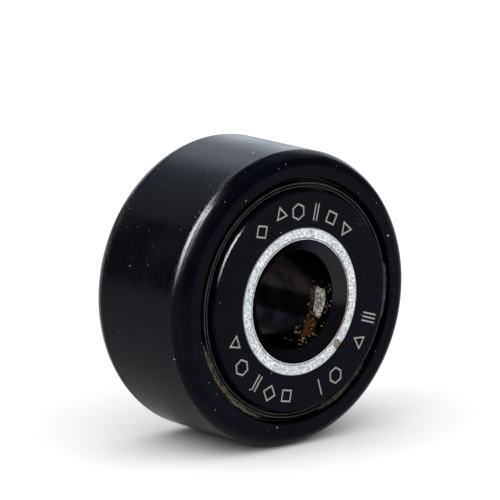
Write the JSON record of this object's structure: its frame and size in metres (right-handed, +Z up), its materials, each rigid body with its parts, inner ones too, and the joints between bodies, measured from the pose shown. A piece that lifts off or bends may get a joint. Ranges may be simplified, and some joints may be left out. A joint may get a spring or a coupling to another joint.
{
  "type": "cam follower",
  "caption": "Yoke-type track roller: a thick outer ring on caged needle rollers round a bored inner ring, with end plates and seals.",
  "frame": {"origin": "centre of the roller: on the rolling axis, half way between the two end faces", "axes": "+Y along the rolling axis, so the marked front face looks towards -Y; +Z is up; the lubrication hole in the inner ring points to +Z"},
  "size_m": [0.03, 0.015, 0.03],
  "materials": {
    "black_oxide_steel": "black oxide, satin, lightly oiled",
    "ground_bearing_steel": "ground bearing steel",
    "black_seal_polymer": "moulded black polymer",
    "cage_steel": "punched sheet steel",
    "polished_needle_steel": "lapped bearing steel"
  },
  "bodies": {
    "inner_ring_core": {"inner_ring": "ground_bearing_steel", "front_end_plate": "black_oxide_steel", "rear_end_plate": "black_oxide_steel"},
    "outer_ring": {"outer_ring": "black_oxide_steel", "front_seal": "black_seal_polymer", "rear_seal": "black_seal_polymer"},
    "needle_cage": {"needle_cage": "cage_steel"},
    "needle_roller_01": {"needle_roller_01": "polished_needle_steel"},
    "needle_roller_02": {"needle_roller_02": "polished_needle_steel"},
    "needle_roller_03": {"needle_roller_03": "polished_needle_steel"},
    "needle_roller_04": {"needle_roller_04": "polished_needle_steel"},
    "needle_roller_05": {"needle_roller_05": "polished_needle_steel"},
    "needle_roller_06": {"needle_roller_06": "polished_needle_steel"},
    "needle_roller_07": {"needle_roller_07": "polished_needle_steel"},
    "needle_roller_08": {"needle_roller_08": "polished_needle_steel"},
    "needle_roller_09": {"needle_roller_09": "polished_needle_steel"},
    "needle_roller_10": {"needle_roller_10": "polished_needle_steel"},
    "needle_roller_11": {"needle_roller_11": "polished_needle_steel"},
    "needle_roller_12": {"needle_roller_12": "polished_needle_steel"},
    "needle_roller_13": {"needle_roller_13": "polished_needle_steel"},
    "needle_roller_14": {"needle_roller_14": "polished_needle_steel"},
    "needle_roller_15": {"needle_roller_15": "polished_needle_steel"},
    "needle_roller_16": {"needle_roller_16": "polished_needle_steel"}
  },
  "joints": [
    {"name": "outer_ring_spin", "type": "hinge", "parent": "inner_ring_core", "child": "outer_ring", "pos_m": [0, 0, 0], "axis": [0, 1, 0], "continuous": true},
    {"name": "cage_orbit", "type": "hinge", "parent": "inner_ring_core", "child": "needle_cage", "pos_m": [0, 0, 0], "axis": [0, 1, 0], "continuous": true},
    {"name": "needle_spin_01", "type": "hinge", "parent": "needle_cage", "child": "needle_roller_01", "pos_m": [0.00875, 0, 0], "axis": [0, 1, 0], "continuous": true},
    {"name": "needle_spin_02", "type": "hinge", "parent": "needle_cage", "child": "needle_roller_02", "pos_m": [0.00808, 0, 0.00335], "axis": [0, 1, 0], "continuous": true},
    {"name": "needle_spin_03", "type": "hinge", "parent": "needle_cage", "child": "needle_roller_03", "pos_m": [0.00619, 0, 0.00619], "axis": [0, 1, 0], "continuous": true},
    {"name": "needle_spin_04", "type": "hinge", "parent": "needle_cage", "child": "needle_roller_04", "pos_m": [0.00335, 0, 0.00808], "axis": [0, 1, 0], "continuous": true},
    {"name": "needle_spin_05", "type": "hinge", "parent": "needle_cage", "child": "needle_roller_05", "pos_m": [0, 0, 0.00875], "axis": [0, 1, 0], "continuous": true},
    {"name": "needle_spin_06", "type": "hinge", "parent": "needle_cage", "child": "needle_roller_06", "pos_m": [-0.00335, 0, 0.00808], "axis": [0, 1, 0], "continuous": true},
    {"name": "needle_spin_07", "type": "hinge", "parent": "needle_cage", "child": "needle_roller_07", "pos_m": [-0.00619, 0, 0.00619], "axis": [0, 1, 0], "continuous": true},
    {"name": "needle_spin_08", "type": "hinge", "parent": "needle_cage", "child": "needle_roller_08", "pos_m": [-0.00808, 0, 0.00335], "axis": [0, 1, 0], "continuous": true},
    {"name": "needle_spin_09", "type": "hinge", "parent": "needle_cage", "child": "needle_roller_09", "pos_m": [-0.00875, 0, 0], "axis": [0, 1, 0], "continuous": true},
    {"name": "needle_spin_10", "type": "hinge", "parent": "needle_cage", "child": "needle_roller_10", "pos_m": [-0.00808, 0, -0.00335], "axis": [0, 1, 0], "continuous": true},
    {"name": "needle_spin_11", "type": "hinge", "parent": "needle_cage", "child": "needle_roller_11", "pos_m": [-0.00619, 0, -0.00619], "axis": [0, 1, 0], "continuous": true},
    {"name": "needle_spin_12", "type": "hinge", "parent": "needle_cage", "child": "needle_roller_12", "pos_m": [-0.00335, 0, -0.00808], "axis": [0, 1, 0], "continuous": true},
    {"name": "needle_spin_13", "type": "hinge", "parent": "needle_cage", "child": "needle_roller_13", "pos_m": [0, 0, -0.00875], "axis": [0, 1, 0], "continuous": true},
    {"name": "needle_spin_14", "type": "hinge", "parent": "needle_cage", "child": "needle_roller_14", "pos_m": [0.00335, 0, -0.00808], "axis": [0, 1, 0], "continuous": true},
    {"name": "needle_spin_15", "type": "hinge", "parent": "needle_cage", "child": "needle_roller_15", "pos_m": [0.00619, 0, -0.00619], "axis": [0, 1, 0], "continuous": true},
    {"name": "needle_spin_16", "type": "hinge", "parent": "needle_cage", "child": "needle_roller_16", "pos_m": [0.00808, 0, -0.00335], "axis": [0, 1, 0], "continuous": true}
  ],
  "couplings": [
    {"joint": "cage_orbit", "follows": "outer_ring_spin", "ratio": 0.57143},
    {"joint": "needle_spin_01", "follows": "outer_ring_spin", "ratio": 3.4286},
    {"joint": "needle_spin_02", "follows": "outer_ring_spin", "ratio": 3.4286},
    {"joint": "needle_spin_03", "follows": "outer_ring_spin", "ratio": 3.4286},
    {"joint": "needle_spin_04", "follows": "outer_ring_spin", "ratio": 3.4286},
    {"joint": "needle_spin_05", "follows": "outer_ring_spin", "ratio": 3.4286},
    {"joint": "needle_spin_06", "follows": "outer_ring_spin", "ratio": 3.4286},
    {"joint": "needle_spin_07", "follows": "outer_ring_spin", "ratio": 3.4286},
    {"joint": "needle_spin_08", "follows": "outer_ring_spin", "ratio": 3.4286},
    {"joint": "needle_spin_09", "follows": "outer_ring_spin", "ratio": 3.4286},
    {"joint": "needle_spin_10", "follows": "outer_ring_spin", "ratio": 3.4286},
    {"joint": "needle_spin_11", "follows": "outer_ring_spin", "ratio": 3.4286},
    {"joint": "needle_spin_12", "follows": "outer_ring_spin", "ratio": 3.4286},
    {"joint": "needle_spin_13", "follows": "outer_ring_spin", "ratio": 3.4286},
    {"joint": "needle_spin_14", "follows": "outer_ring_spin", "ratio": 3.4286},
    {"joint": "needle_spin_15", "follows": "outer_ring_spin", "ratio": 3.4286},
    {"joint": "needle_spin_16", "follows": "outer_ring_spin", "ratio": 3.4286}
  ]
}
